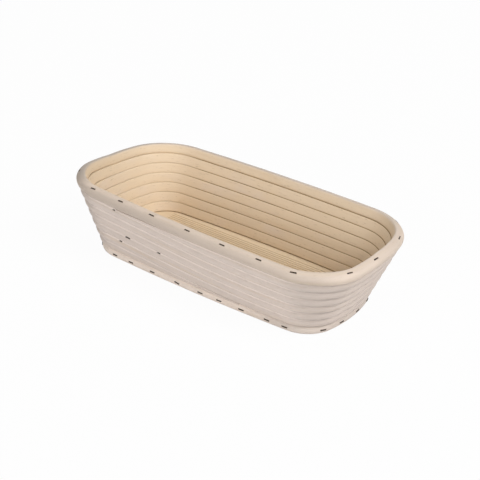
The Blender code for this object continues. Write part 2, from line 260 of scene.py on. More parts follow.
def new_tree(name, *sizes):
    """A geometry tree with named inputs, as a Wire at its geometry input."""
    tree = bpy.data.node_groups.new(name, "GeometryNodeTree")
    inputs = (("Geometry", "Geometry"), *sizes, ("Material", "Material"))
    for label, kind in inputs:
        tree.interface.new_socket(label, in_out="INPUT", socket_type=f"NodeSocket{kind}")
    tree.interface.new_socket("Geometry", in_out="OUTPUT", socket_type="NodeSocketGeometry")
    return Wire(tree).add("NodeGroupInput")


def close_tree(start, shape):
    """Ends a tree: instances made real, and the material from the tree's input."""
    real = shape.add("GeometryNodeRealizeInstances", None, {"Geometry": shape})
    sockets = {"Geometry": real, "Material": start.other("Material")}
    dressed = real.add("GeometryNodeSetMaterial", None, sockets)
    dressed.add("NodeGroupOutput", None, {"Geometry": dressed})
    return start.tree


def add_object(name, data):
    obj = bpy.data.objects.new(name, data)
    bpy.context.scene.collection.objects.link(obj)
    return obj


def grow(name, source, tree, material, **sizes):
    """Runs a geometry tree on a source object, which the plain mesh of its result replaces."""
    modifier = source.modifiers.new(tree.name, "NODES")
    modifier.node_group = tree
    values = {"Material": material}
    values.update({label.replace("_", " ").capitalize(): size for label, size in sizes.items()})
    for item in tree.interface.items_tree:
        if item.in_out == "INPUT" and item.name in values:
            modifier[item.identifier] = values[item.name]
    depsgraph = bpy.context.evaluated_depsgraph_get()
    mesh = bpy.data.meshes.new_from_object(source.evaluated_get(depsgraph))
    source.modifiers.remove(modifier)
    bpy.data.objects.remove(source)
    return add_object(name, mesh)


def place(piece, slot, *nodes):
    """Fixes a piece to the basket, in the stead of these nodes."""
    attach(piece, "root")
    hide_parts(*nodes)


def groove_tree():
    """Presses lengthwise grooves into the upper face of a flat board."""
    sizes = ("Top", "Pitch", "Width", "Depth", "Side reach", "End reach", "Run out")
    start = new_tree("grooved board", *((label, "Float") for label in sizes))
    x, y, z = start.add("GeometryNodeInputPosition").split()
    top, pitch, width, depth, side, end, run_out = (start.other(label) for label in sizes)
    across = abs(y.math("PINGPONG", pitch / 2))
    cut = 1 - across.between(0.0, width / 2)
    inside = abs(y).math("LESS_THAN", side)
    fade = (end - abs(x)).between(0.0, run_out)
    on_top = z.math("GREATER_THAN", top / 2)
    lowered = z - cut * inside * fade * on_top * depth
    sockets = {"Geometry": start, "Position": x.vector(y, lowered)}
    return close_tree(start, start.add("GeometryNodeSetPosition", None, sockets))


def board_rows():
    """Places across the board: five to each groove, and closer ones towards its long edges."""
    groove = [share * GROOVE_WIDTH / 2 for share in (-1.0, -0.5, 0.0, 0.5, 1.0)]
    grooves = range(-GROOVES_EACH_SIDE, GROOVES_EACH_SIDE + 1)
    rows = [number * GROOVE_PITCH + part for number in grooves for part in groove]
    for angle in np.linspace(*BOARD_EDGE_ANGLES, BOARD_EDGE_ROWS):
        edge = board_edge(float(angle)).y
        rows += [edge, -edge]
    return sorted(rows)


def board_columns():
    """Places along half the board's length, from -1 to 1, closer where the grooves run out."""
    ends = np.linspace(BOARD_END_SHARE, 1.0, BOARD_END_COLUMNS)
    between = BOARD_COLUMNS - 2 * BOARD_END_COLUMNS
    return sorted([*np.linspace(-BOARD_MIDDLE_SHARE, BOARD_MIDDLE_SHARE, between), *ends, *-ends])


def flat_board():
    """A closed flat board with its lip, in rows across it, each as long as the plan is there."""
    angles = np.linspace(0, math.pi / 2, BOARD_EDGE_SAMPLES)
    edge = [board_edge(float(angle)) for angle in angles]
    lengths = [point.x for point in edge]
    widths = [point.y for point in edge]
    columns = board_columns()
    shape = bmesh.new()
    grid = []
    for y in board_rows():
        half = float(np.interp(abs(y), widths, lengths))
        grid.append([shape.verts.new((share * half, y, BOARD_TOP)) for share in columns])
    for near, far in zip(grid, grid[1:]):
        for i in range(len(columns) - 1):
            shape.faces.new((near[i], near[i + 1], far[i + 1], far[i]))
    right = [row[-1] for row in grid[1:-1]]
    left = [row[0] for row in grid[1:-1]]
    rim = [*grid[0], *right, *reversed(grid[-1]), *reversed(left)]
    steps = []
    for vert in rim:
        normal = normal_at(float(np.interp(abs(vert.co.y), widths, angles)))
        step_x = math.copysign(LIP_WIDTH * normal.x, -vert.co.x)
        step_y = math.copysign(LIP_WIDTH * normal.y, -vert.co.y)
        steps.append((step_x, step_y))
    under_lip = BOARD_TOP - LIP_THICKNESS
    rings = [rim]
    for share, height in ((0.0, under_lip), (1.0, under_lip), (1.0, 0.0)):
        ring = []
        for vert, (step_x, step_y) in zip(rim, steps):
            inset = (vert.co.x + share * step_x, vert.co.y + share * step_y, height)
            ring.append(shape.verts.new(inset))
        rings.append(ring)
    for upper, lower in zip(rings, rings[1:]):
        for i in range(len(rim)):
            shape.faces.new((upper[i - 1], lower[i - 1], lower[i], upper[i]))
    shape.faces.new(list(reversed(rings[-1])))
    mesh = bpy.data.meshes.new("board")
    shape.to_mesh(mesh)
    shape.free()
    return add_object("board", mesh)


board = grow(
    "grooved_board",
    flat_board(),
    groove_tree(),
    board_finish(),
    top=BOARD_TOP,
    pitch=GROOVE_PITCH,
    width=GROOVE_WIDTH,
    depth=GROOVE_DEPTH,
    side_reach=(GROOVES_EACH_SIDE + 0.5) * GROOVE_PITCH,
    end_reach=GROOVE_REACH,
    run_out=GROOVE_RUN_OUT,
)
place(board, "floor_wood", "floor_board")


# Foot cane
# A cane bent once round the board and planed flat underneath, where the basket stands.
# Its two ends are shaved to a long slant and meet at the back.

FOOT_FLAT_DEPTH = 0.0008
FOOT_Z = FOOT_RADIUS - FOOT_FLAT_DEPTH
FOOT_JOINT_X = -0.013
FOOT_JOINT_LENGTH = 0.018
CANE_SIDES = 32
ROUND = 2.2
FOOT_FLATNESS = 5.0
CORNER_STEPS = 16
END_STEPS = 10
SIDE_STEPS = 24
CANE_UNEVENNESS = 0.00022
SWELLS_ALONG = 28
SWELLS_AROUND = 0.8
NOSE_SHARE = 0.8
NOSE_INWARD = -0.01
JOINT_GAP = 0.00003
JOINT_REACH = 2.2

FOOT_OUTSIDE = (0.900, 0.775, 0.680, 1)
FOOT_INSIDE = (0.640, 0.480, 0.310, 1)
FOOT_TOP_WARMTH = 1.0
# Strength of the foot's painted highlight, and of its extra painted shade at the corners and right
# end.
FOOT_CREST_HIGHLIGHT = 0.2
FOOT_EXTRA_SHADE = 0.4
FOOT_SEAMS = (0.0, 0.6)
# Where the foot's right end takes painted shade in full.
FOOT_SHADED_X = (0.060, 0.115)

# Brown of the pores, and of the seams, where it is dirt and painted shade in the crevices.
SEAM_BROWN = (0.250, 0.145, 0.040, 1)
TAN_SHARES = (0.86, 0.80, 0.70)
# Pale shares serve the random pale patches and the rim's painted light at its right end.
PALE_SHARES = (1.10, 1.10, 1.10)
# Shares of the painted highlight on a turn's top and of the painted shade below it.
CREST_HIGHLIGHT_SHARES = (1.40, 1.46, 1.52)
SHADE_SHARES = (0.72, 0.72, 0.72)
FIBRE_NOISE = (60, 14, 3.0, 0.6)
FIBRE_LIMITS = (0.52, 0.75)
FIBRE_TINT = 0.22
STREAK_NOISE = (7, 2.5)
STREAK_LIMITS = (0.50, 0.80)
STREAK_TINT = 0.35
PATCH_NOISE = (22, 0.7)
PATCH_LIMITS = (0.50, 0.75)
PATCH_TINT = 0.30
PORE_NOISE = (160, 22, 1.0)
PORE_LIMITS = (0.66, 0.74)
PORE_TINT = 0.30
PORE_DEPTH = 0.6
WARM_INWARD = (-0.5, 0.5)
WARM_UP = (0.0, 0.8)
UNDER_SHADE = 0.5
UNDER_DOWN = (0.10, 0.70)
# Band along a turn's top that takes the painted highlight.
CREST_UP = (0.66, 0.84)
SEAM_UP = (0.48, 0.66)
SHAVED_TO = (0.50, 0.95)
# Where the painted shade at the corners lies, and where the shade below a turn grows at the right
# end.
CORNER_X = (0.110, 0.140)
CORNER_Y = (0.030, 0.055)
RIGHT_END_X = (0.100, 0.150)
# Where the seams' brown fades towards the left end.
FAINT_SEAM_X = (0.090, 0.140)
FAINT_SEAM_SHARE = 0.25
CANE_ROUGHNESS = (0.52, 0.72)
CANE_BUMP = 0.00012


def cane_tree():
    """A cane along a path. Its section leans with the wall, and is flatter inside than outside."""
    sizes = (
        *("Half width", "Half height", "Inner half height", "Inner squareness", "Outer squareness"),
        *("Lean", "Unevenness", "Ground"),
    )
    start = new_tree("bent cane", ("Sides", "Int"), *((label, "Float") for label in sizes))
    width, height, inner_height, inner, outer, lean, unevenness, ground = (
        start.other(label) for label in sizes
    )

    def keep(geometry, label, value, kind="FLOAT"):
        sockets = {"Geometry": geometry, "Name": label, "Value": value}
        return start.add("GeometryNodeStoreNamedAttribute", {"data_type": kind}, sockets)

    inward, up, _ = start.add("GeometryNodeInputPosition").split()
    circle = {"Resolution": start.other("Sides"), "Radius": 1.0}
    ring = start.add("GeometryNodeCurvePrimitiveCircle", {"mode": "RADIUS"}, circle)
    ring = keep(keep(ring, "inward", inward), "up", up * -1)
    inside = inward.math("GREATER_THAN", 0.0)
    power = 2 / (outer + (inner - outer) * inside)
    flat = inward.math("SIGN") * abs(inward) ** power * width
    tall = up.math("SIGN") * abs(up) ** power * (height + (inner_height - height) * inside)
    section = {"Geometry": ring, "Position": flat.vector(tall, 0.0)}
    ring = start.add("GeometryNodeSetPosition", None, section)

    path = start.add("GeometryNodeSetCurveNormal", {"mode": "Z_UP"}, {"Curve": start})
    path = start.add("GeometryNodeSetCurveTilt", None, {"Curve": path, "Tilt": lean})
    path = keep(path, "along", start.add("GeometryNodeSplineParameter", out="Length"))
    path = keep(path, "thickness", start.add("GeometryNodeInputRadius"))
    path = keep(path, "middle", start.add("GeometryNodeInputPosition"), "FLOAT_VECTOR")
    sideways = start.add("GeometryNodeInputNormal")
    path = keep(path, "sideways", sideways, "FLOAT_VECTOR")
    sides = {0: start.add("GeometryNodeInputTangent"), 1: sideways}
    upright = start.add("ShaderNodeVectorMath", {"operation": "CROSS_PRODUCT"}, sides)
    path = keep(path, "upright", upright, "FLOAT_VECTOR")
    sweep = {"Curve": path, "Profile Curve": ring, "Scale": 1.0, "Fill Caps": True}
    cane = start.add("GeometryNodeCurveToMesh", None, sweep)

    def kept(label, kind="FLOAT"):
        return start.add("GeometryNodeInputNamedAttribute", {"data_type": kind}, {"Name": label})

    def away_along(direction):
        """Distance from the middle of the cane along one of its two directions."""
        ends = {0: start.add("GeometryNodeInputPosition"), 1: kept("middle", "FLOAT_VECTOR")}
        away = start.add("ShaderNodeVectorMath", {"operation": "SUBTRACT"}, ends)
        sockets = {0: away, 1: kept(direction, "FLOAT_VECTOR")}
        return start.add("ShaderNodeVectorMath", {"operation": "DOT_PRODUCT"}, sockets, "Value")

    thinned = kept("thickness") - 1
    shaved = kept("upright", "FLOAT_VECTOR").times(away_along("upright") * thinned)
    cane = start.add("GeometryNodeSetPosition", None, {"Geometry": cane, "Offset": shaved})
    reach = away_along("sideways")
    past_nose = reach - reach.math("SIGN") * width * NOSE_SHARE
    outside = kept("inward").math("LESS_THAN", NOSE_INWARD)
    rounded = kept("sideways", "FLOAT_VECTOR").times(past_nose * thinned * outside)
    cane = start.add("GeometryNodeSetPosition", None, {"Geometry": cane, "Offset": rounded})
    around = (kept("inward") * SWELLS_AROUND, kept("up") * SWELLS_AROUND)
    swell = (kept("along") * SWELLS_ALONG).vector(*around).noise(1.0, 1.0)
    normal = start.add("GeometryNodeInputNormal")
    bumpy = {"Geometry": cane, "Offset": normal.times((swell - 0.5) * unevenness * 2)}
    cane = start.add("GeometryNodeSetPosition", None, bumpy)
    x, y, z = start.add("GeometryNodeInputPosition").split()
    planed = {"Geometry": cane, "Position": x.vector(y, z.math("MAXIMUM", ground))}
    cane = start.add("GeometryNodeSetPosition", None, planed)
    return close_tree(start, start.add("GeometryNodeSetShadeSmooth", None, {"Geometry": cane}))


class Spot:
    """A spot on a cane's surface: its place along and round the cane, and in the basket."""

    def __init__(self, start):
        def kept(label):
            return start.add("ShaderNodeAttribute", {"attribute_name": label}, out="Fac")

        self.along, self.inward, self.up = kept("along"), kept("inward"), kept("up")
        self.thickness = kept("thickness")
        self.x, self.y, _ = start.add("ShaderNodeTexCoord", out="Object").split()

    def noise(self, along, around, detail=2.0, roughness=0.5):
        """Noise with this many spots to the metre along the cane, and this fine around it."""
        spread = (self.along * along).vector(self.inward * around, self.up * around)
        return spread.noise(1.0, detail, roughness)

    def underside(self):
        """1 on the lower half of a turn, but not on its shaved tips."""
        return (self.up * -1).between(*UNDER_DOWN) * self.thickness.between(*SHAVED_TO)

    def corners(self):
        """1 at the basket's four corners."""
        return abs(self.x).between(*CORNER_X) * abs(self.y).between(*CORNER_Y)


def toned(colour, shares):
    """A colour with its red, green and blue times these shares."""
    return (*(value * share for value, share in zip(colour, shares)), 1)


def turn_tints(spot, outside, highlight, bent, corner):
    """Painted light on a turn's outside: a highlight along its top, shade below and at the corners.
    """
    shade = toned(outside, SHADE_SHARES)
    # Painted shade under each turn, more at the right end; bent is the share of extra painted shade
    # there and at the corners.
    below = spot.underside() * (spot.x.between(*RIGHT_END_X) * bent + UNDER_SHADE)
    # Painted highlight along the top of each turn.
    crest_highlight = spot.up.between(*CREST_UP) * highlight
    return (crest_highlight, toned(outside, CREST_HIGHLIGHT_SHARES)), (below, shade), (corner, shade)


def cane_finish(name, outside, inside, top_warmth, seams, tints):
    """Peeled rattan with fibres and pores: warmer inside, painted light and shade outside, brown
    seams.
    """
    material, start, shader = new_finish(name)
    spot = Spot(start)
    fibres = spot.noise(*FIBRE_NOISE)
    pores = spot.noise(*PORE_NOISE).between(*PORE_LIMITS)
    tan = toned(inside, TAN_SHARES)
    pale = toned(outside, PALE_SHARES)
    marks = (
        (spot.noise(*STREAK_NOISE).between(*STREAK_LIMITS) * STREAK_TINT, tan),
        (spot.noise(*PATCH_NOISE).between(*PATCH_LIMITS) * PATCH_TINT, pale),
        (fibres.between(*FIBRE_LIMITS) * FIBRE_TINT, tan),
        (pores * PORE_TINT, SEAM_BROWN),
    )
    warmth = spot.inward.between(*WARM_INWARD) * spot.up.between(*WARM_UP).spread(1.0, top_warmth)
    skin = warmth.tint(outside, inside)
    for amount, colour in marks:
        skin = amount.tint(skin, colour)
    # Painted light and shade on the outside, given by each piece's tints.
    for amount, colour in tints(spot):
        skin = ((1 - warmth) * amount).tint(skin, colour)
    below, above = seams
    # Seams painted brown, as dirt and as painted shade in the crevices, fading towards the left
    # end.
    seam = spot.up.between(*SEAM_UP) * above + (spot.up * -1).between(*SEAM_UP) * below
    seam_strength = (spot.x * -1).between(*FAINT_SEAM_X).spread(1.0, FAINT_SEAM_SHARE)
    colour = (warmth * seam * seam_strength).tint(skin, SEAM_BROWN)
    relief = fibres - pores * PORE_DEPTH
    connect(shader, colour, fibres.spread(*CANE_ROUGHNESS), relief, CANE_BUMP)
    return material


def foot_tints(spot):
    """Painted light on the foot's outside, with painted shade all along its right end."""
    corner = (spot.corners() * FOOT_EXTRA_SHADE).math("MAXIMUM", spot.x.between(*FOOT_SHADED_X))
    return turn_tints(spot, FOOT_OUTSIDE, FOOT_CREST_HIGHLIGHT, FOOT_EXTRA_SHADE, corner)


def bent_path(points, scales):
    """A path of straight steps through these points, with the cane's share of thickness at each."""
    curve = bpy.data.curves.new("path", "CURVE")
    curve.dimensions = "3D"
    spline = curve.splines.new("POLY")
    spline.points.add(len(points) - 1)
    for knot, point, scale in zip(spline.points, points, scales):
        knot.co = (*point, 1)
        knot.radius = scale
    return add_object("path", curve)


def stretch(first, last, steps):
    """Directions from first towards last in equal steps, without last."""
    return [first + (last - first) * i / steps for i in range(steps)]


def back_angle(x):
    """Direction of the normal at this place along the back."""
    return math.pi / 2 - math.asin(x / SIDE_RADIUS)


def corner_to_corner(first_side, last_side):
    """Directions clockwise round an end, from one long side to the other, in quarter turns."""
    first = first_side * math.pi / 2 - SIDE_BOW
    last = last_side * math.pi / 2 + SIDE_BOW
    middle = (first_side + last_side) * math.pi / 4
    angles = stretch(first, middle + END_BOW, CORNER_STEPS)
    angles += stretch(middle + END_BOW, middle - END_BOW, END_STEPS)
    return angles + stretch(middle - END_BOW, last, CORNER_STEPS)


def jointed_ring(out, height, joint_x, joint_length):
    """Points of one level turn, clockwise from before its joint at the back to beyond the joint."""
    first = back_angle(joint_x - joint_length)
    last = back_angle(joint_x + joint_length) - 2 * math.pi
    angles = stretch(first, math.pi / 2 - SIDE_BOW, SIDE_STEPS)
    angles += corner_to_corner(1, -1)
    angles += stretch(-math.pi / 2 + SIDE_BOW, -math.pi / 2 - SIDE_BOW, SIDE_STEPS)
    angles += corner_to_corner(-1, -3)
    angles += stretch(-3 * math.pi / 2 + SIDE_BOW, last, SIDE_STEPS)
    angles.append(last)
    return [plan_point(angle, out) + Vector((0, 0, height)) for angle in angles]


def shave_ends(piece, centre, length, diameter):
    """Cuts both ends of a turn along one slanted plane, and closes each cut."""
    slope = math.atan2(diameter, length)
    upward = Vector((math.sin(slope), 0, math.cos(slope)))
    shape = bmesh.new()
    shape.from_mesh(piece.data)
    along = shape.verts.layers.float["along"]
    total = max(vert[along] for vert in shape.verts)
    reach = JOINT_REACH * length
    for side, at_end in ((1, lambda run: run < reach), (-1, lambda run: run > total - reach)):
        verts = [vert for vert in shape.verts if at_end(vert[along])]
        faces = [face for face in shape.faces if all(at_end(vert[along]) for vert in face.verts)]
        edges = [edge for edge in shape.edges if all(at_end(vert[along]) for vert in edge.verts)]
        cut = bmesh.ops.bisect_plane(
            shape,
            geom=[*verts, *edges, *faces],
            plane_co=centre + upward * side * JOINT_GAP / 2,
            plane_no=upward * side,
            clear_inner=True,
        )
        open_edges = [item for item in cut["geom_cut"] if isinstance(item, bmesh.types.BMEdge)]
        for edge in open_edges:
            edge.smooth = False
        for face in bmesh.ops.contextual_create(shape, geom=open_edges)["faces"]:
            face.smooth = False
    bmesh.ops.recalc_face_normals(shape, faces=shape.faces)
    shape.to_mesh(piece.data)
    shape.free()


bent_cane = cane_tree()
foot_points = jointed_ring(-FOOT_STEP_IN, FOOT_Z, FOOT_JOINT_X, FOOT_JOINT_LENGTH)
foot = grow(
    "foot_ring",
    bent_path(foot_points, [1.0] * len(foot_points)),
    bent_cane,
    cane_finish("foot_cane", FOOT_OUTSIDE, FOOT_INSIDE, FOOT_TOP_WARMTH, FOOT_SEAMS, foot_tints),
    sides=CANE_SIDES,
    half_width=FOOT_RADIUS,
    half_height=FOOT_RADIUS,
    inner_half_height=FOOT_RADIUS,
    inner_squareness=FOOT_FLATNESS,
    outer_squareness=ROUND,
    unevenness=CANE_UNEVENNESS,
)
foot_joint = plan_point(back_angle(FOOT_JOINT_X), -FOOT_STEP_IN) + Vector((0, 0, FOOT_Z))
shave_ends(foot, foot_joint, FOOT_JOINT_LENGTH, 2 * FOOT_RADIUS)
place(foot, "foot_cane", "foot_cane")


# Foot staples
# Flat steel wire bent to a U, blued dark, and driven level through the foot cane into the board.
# The crowns are pressed a little into the cane and don't sit quite square.

STAPLE_CROWN = 0.0069
STAPLE_WIRE_WIDTH = 0.0012
STAPLE_WIRE_THICKNESS = 0.0007
STAPLE_BEND = 0.0010
STAPLE_SKEW = math.radians(2.5)
STAPLE_POINT = 0.0012
BEND_STEPS = 4
FOOT_STAPLE_FIRST_X = 0.0033
FOOT_STAPLE_DRIFTS = (
    *(0.0067, 0.0028, 0.0022, 0.0050, -0.0023, 0.0044, 0.0007, 0.0012, -0.0021),
    *(0.0018, 0.0004, -0.0026, 0.0015, 0.0031, -0.0012, 0.0008, 0.0022, -0.0017),
    *(0.0009, -0.0024, 0.0016, 0.0020, -0.0011, -0.0010, -0.0050, -0.0022, 0.0039),
)
FOOT_STAPLE_LEG = 0.0176
FOOT_STAPLE_SINK = 0.0006
STAPLE_DARK = (0.030, 0.022, 0.018, 1)
STAPLE_BROWN = (0.095, 0.062, 0.040, 1)
STAPLE_GLOSS = 0.15
STAPLE_ROUGHNESS = (0.45, 0.70)
STAPLE_BUMP = 0.00005
RUST_NOISE = (900.0, 2.0)
RUST_LIMITS = (0.40, 0.65)
SCRATCH_NOISE = (5000.0, 1.0)
OUTLINE_SAMPLES = 4001
SKEW_SEED = 7
skew = np.random.default_rng(SKEW_SEED)


def staple_finish():
    """Blued steel, browner where it has begun to rust."""
    material, start, shader = new_finish("staple_wire")
    spot = start.add("ShaderNodeTexCoord", out="Object")
    rust = spot.noise(*RUST_NOISE)
    scratch = spot.noise(*SCRATCH_NOISE)
    shader.inputs["Specular IOR Level"].default_value = STAPLE_GLOSS
    colour = rust.between(*RUST_LIMITS).tint(STAPLE_DARK, STAPLE_BROWN)
    connect(shader, colour, rust.spread(*STAPLE_ROUGHNESS), scratch, STAPLE_BUMP)
    return material


def staple_outline(leg):
    """Side view of a staple: its crown lies on z = 0 and its pointed legs hang down."""
    half = STAPLE_CROWN / 2
    thick = STAPLE_WIRE_THICKNESS
    quarter = [math.pi / 2 * i / BEND_STEPS for i in range(BEND_STEPS + 1)]

    def bend(radius):
        x, z = half - STAPLE_BEND, thick - STAPLE_BEND
        return [(x + radius * math.sin(turn), z + radius * math.cos(turn)) for turn in quarter]

    outer = [*bend(STAPLE_BEND), (half, STAPLE_POINT - leg)]
    inner = [*bend(STAPLE_BEND - thick), (half - thick, -leg)]
    right = [*outer, *reversed(inner)]
    left = [(-x, z) for x, z in right]
    return [*right, *reversed(left)]


def staple_shape(leg):
    """A staple of flat wire as a mesh with softened edges."""
    shape = bmesh.new()
    half = STAPLE_WIRE_WIDTH / 2
    front = [shape.verts.new((x, -half, z)) for x, z in staple_outline(leg)]
    back = [shape.verts.new((x, half, z)) for x, z in staple_outline(leg)]
    count = len(front)
    for i in range(count):
        shape.faces.new((front[i - 1], front[i], back[i], back[i - 1]))
    for i in range(count // 2 - 1):
        j = count - 1 - i
        shape.faces.new((front[i], front[i + 1], front[j - 1], front[j]))
        shape.faces.new((back[j], back[j - 1], back[i + 1], back[i]))
    bmesh.ops.recalc_face_normals(shape, faces=shape.faces)
    mesh = bpy.data.meshes.new("staple")
    shape.to_mesh(mesh)
    shape.free()
    return add_object("staple", mesh)


def staple_tree():
    """One staple at each point, its crown along the cane and its legs pointing in."""
    start = new_tree("driven staples", ("Staple", "Object"))

    def kept(label):
        settings = {"data_type": "FLOAT_VECTOR"}
        return start.add("GeometryNodeInputNamedAttribute", settings, {"Name": label})

    shape = start.add("GeometryNodeObjectInfo", None, {"Object": start.other("Staple")}, "Geometry")
    axes = {"Primary Axis": kept("outward"), "Secondary Axis": kept("crown")}
    settings = {"primary_axis": "Z", "secondary_axis": "X"}
    turn = start.add("FunctionNodeAxesToRotation", settings, axes)
    driven = {"Points": start, "Instance": shape, "Rotation": turn}
    return close_tree(start, start.add("GeometryNodeInstanceOnPoints", None, driven))


def drive_staples(name, places, leg, sink, node):
    """A row of staples, each given by its seat, the cane's direction there and the way out."""
    mesh = bpy.data.meshes.new("places")
    mesh.from_pydata([seat - sink * outward for seat, _, outward in places], [], [])
    crowns = mesh.attributes.new("crown", "FLOAT_VECTOR", "POINT")
    outwards = mesh.attributes.new("outward", "FLOAT_VECTOR", "POINT")
    for i, (_, crown, outward) in enumerate(places):
        twist = Matrix.Rotation(float(skew.normal(0, STAPLE_SKEW)), 3, outward)
        crowns.data[i].vector = twist @ crown
        outwards.data[i].vector = outward
    single = staple_shape(leg)
    row = grow(name, add_object("places", mesh), driven_staples, staple_wire, staple=single)
    bpy.data.objects.remove(single)
    place(row, "staple_wire", *(f"{node}_{i + 1:02d}" for i in range(len(places))))


def along_at(angle):
    return Vector((-math.sin(angle), math.cos(angle), 0))


def front_angle(x):
    """Direction of the normal at this place along the front."""
    return math.asin(x / SIDE_RADIUS) - math.pi / 2


def spaced_angles(out, first_x, drifts):
    """Directions about equally far apart from this place on the front, each off by its drift."""
    turn = np.linspace(0, 2 * math.pi, OUTLINE_SAMPLES) + front_angle(first_x)
    places = np.array([plan_point(float(angle), out) for angle in turn])
    run = np.concatenate([[0], np.cumsum(np.linalg.norm(np.diff(places, axis=0), axis=1))])
    pitch = run[-1] / len(drifts)
    return [float(np.interp(i * pitch + drift, run, turn)) for i, drift in enumerate(drifts)]


def foot_staple_places():
    places = []
    for angle in spaced_angles(-FOOT_STEP_IN, FOOT_STAPLE_FIRST_X, FOOT_STAPLE_DRIFTS):
        outward = normal_at(angle)
        seat = plan_point(angle, -FOOT_STEP_IN) + (FOOT_RADIUS + SEAT_GAP) * outward
        seat.z = FOOT_Z
        places.append((seat, along_at(angle), outward))
    return places


driven_staples = staple_tree()
staple_wire = staple_finish()
drive_staples(
    "foot_staples", foot_staple_places(), FOOT_STAPLE_LEG, FOOT_STAPLE_SINK, "foot_staple"
)


# Wall cane
# One cane of peeled rattan core, wound while wet in six level turns that lie further out the higher
# they are. On the front each turn climbs to the next, and both ends are shaved to a thin tip.

WALL_TURNS = 6
WALL_RADIUS = 0.00515
TURN_PITCH = 0.01085
WALL_STEP_UP = math.sqrt(TURN_PITCH**2 - WALL_STEP_OUT**2)
WALL_LEAN = math.atan2(WALL_STEP_OUT, WALL_STEP_UP)
WALL_HALF_HEIGHT = 1.015 * TURN_PITCH / 2
WALL_INNER_HALF_HEIGHT = 1.08 * TURN_PITCH / 2
WALL_FLATNESS = 8.0
FIRST_TURN_Z = FOOT_Z + math.sqrt((FOOT_RADIUS + WALL_RADIUS + SEAT_GAP) ** 2 - FOOT_STEP_IN**2)
TOP_LEVEL = WALL_TURNS - 1
CLIMB_LENGTH = 0.194
CLIMB_FROM_CORNER = 0.002
CLIMB_END_X = CLIMB_FROM_CORNER - SIDE_HALF_RUN
CLIMB_START_X = CLIMB_END_X + CLIMB_LENGTH
CLIMB_EASE = 0.35
CLIMB_STEPS = 36
CLIMB_END_STEPS = 2
CLIMB_SAMPLES = 1001
TIP_DIAMETER = 0.0012
TIP_OVERLAP = 0.0002
SETTLE = 0.0036
SETTLE_LENGTH = 0.130
SETTLE_WIDTH = 0.040
SETTLE_FROM_Z = 0.013
SETTLE_HEIGHT = 0.062
WALL_OUTSIDE = (0.665, 0.570, 0.510, 1)
WALL_INSIDE = (0.765, 0.618, 0.448, 1)
WALL_TOP_WARMTH = 1.0
# Strength of the wall's painted highlight, and of its extra painted shade at the corners and right
# end.
WALL_CREST_HIGHLIGHT = 0.75
WALL_EXTRA_SHADE = 0.5
WALL_SEAMS = (0.9, 0.9)


def climbed(share):
    """Part of the climb done after this share of its length, eased at both ends."""
    return share - CLIMB_EASE * math.sin(2 * math.pi * share) / (2 * math.pi)


def climb_angle(share):
    return front_angle(CLIMB_START_X - share * CLIMB_LENGTH)


def settled(point):
    """This point in the uneven winding, whose front is low on the right and high on the left."""
    at_front = min(1.0, max(0.0, -point.y / SETTLE_WIDTH))
    to_right = min(1.0, max(-1.0, point.x / SETTLE_LENGTH))
    risen = max(0.0, (point.z - SETTLE_FROM_Z) / SETTLE_HEIGHT)
    return point - Vector((0, 0, SETTLE * to_right * at_front * risen))


def wall_point(angle, level):
    """Middle of the wall cane in this direction, at a level counted in turns from the lowest."""
    point = plan_point(angle, level * WALL_STEP_OUT)
    point.z = FIRST_TURN_Z + level * WALL_STEP_UP
    return settled(point)


def share_with_room(room):
    """Share of the climb by which this much of a turn's pitch has opened."""
    shares = np.linspace(0, 1, CLIMB_SAMPLES)
    return float(np.interp(room, [climbed(share) for share in shares], shares))


def wall_path():
    """Points and thicknesses of the whole wound cane, from its lower tip to its upper tip."""
    points = []
    scales = []

    def put(angle, level, scale):
        points.append(wall_point(angle, level))
        scales.append(scale)

    tip = share_with_room((TIP_DIAMETER - TIP_OVERLAP) / TURN_PITCH)
    for i in range(CLIMB_STEPS):
        share = tip + (1 - tip) * i / CLIMB_STEPS
        scale = climbed(share) + TIP_OVERLAP / TURN_PITCH
        put(climb_angle(share), (scale - 1) / 2, scale)
    level_turn = stretch(climb_angle(1), -math.pi / 2 - SIDE_BOW, CLIMB_END_STEPS)
    level_turn += corner_to_corner(-1, -3)
    level_turn += stretch(-3 * math.pi / 2 + SIDE_BOW, -3 * math.pi / 2 - SIDE_BOW, SIDE_STEPS)
    level_turn += corner_to_corner(-3, -5)
    last = climb_angle(0) - 2 * math.pi
    level_turn += stretch(-5 * math.pi / 2 + SIDE_BOW, last, SIDE_STEPS // 2)
    for turn in range(WALL_TURNS):
        for angle in level_turn:
            put(angle, turn, 1.0)
        if turn < TOP_LEVEL:
            for share in stretch(0.0, 1.0, CLIMB_STEPS):
                put(climb_angle(share), turn + climbed(share), 1.0)
    for i in range(CLIMB_STEPS + 1):
        share = (1 - tip) * i / CLIMB_STEPS
        scale = min(1.0, 1 - climbed(share) + TIP_OVERLAP / TURN_PITCH)
        put(climb_angle(share), TOP_LEVEL + (1 - scale) / 2, scale)
    return points, scales


def wall_tints(spot):
    """Painted light on the wall's outside: a highlight on each turn's top, shade below and at the
    corners.
    """
    return turn_tints(spot, WALL_OUTSIDE, WALL_CREST_HIGHLIGHT, WALL_EXTRA_SHADE, spot.corners() * WALL_EXTRA_SHADE)


wall = grow(
    "wound_wall",
    bent_path(*wall_path()),
    bent_cane,
    cane_finish("wall_cane", WALL_OUTSIDE, WALL_INSIDE, WALL_TOP_WARMTH, WALL_SEAMS, wall_tints),
    sides=CANE_SIDES,
    half_width=WALL_RADIUS,
    half_height=WALL_HALF_HEIGHT,
    inner_half_height=WALL_INNER_HALF_HEIGHT,
    inner_squareness=WALL_FLATNESS,
    outer_squareness=ROUND,
    lean=-WALL_LEAN,
    unevenness=CANE_UNEVENNESS,
)
place(wall, "wall_cane", "wall_cane")


# Wall staples
# The same staples, driven from outside where a turn climbs and wants to spring away,
# and one under the rim that holds the upper tip.

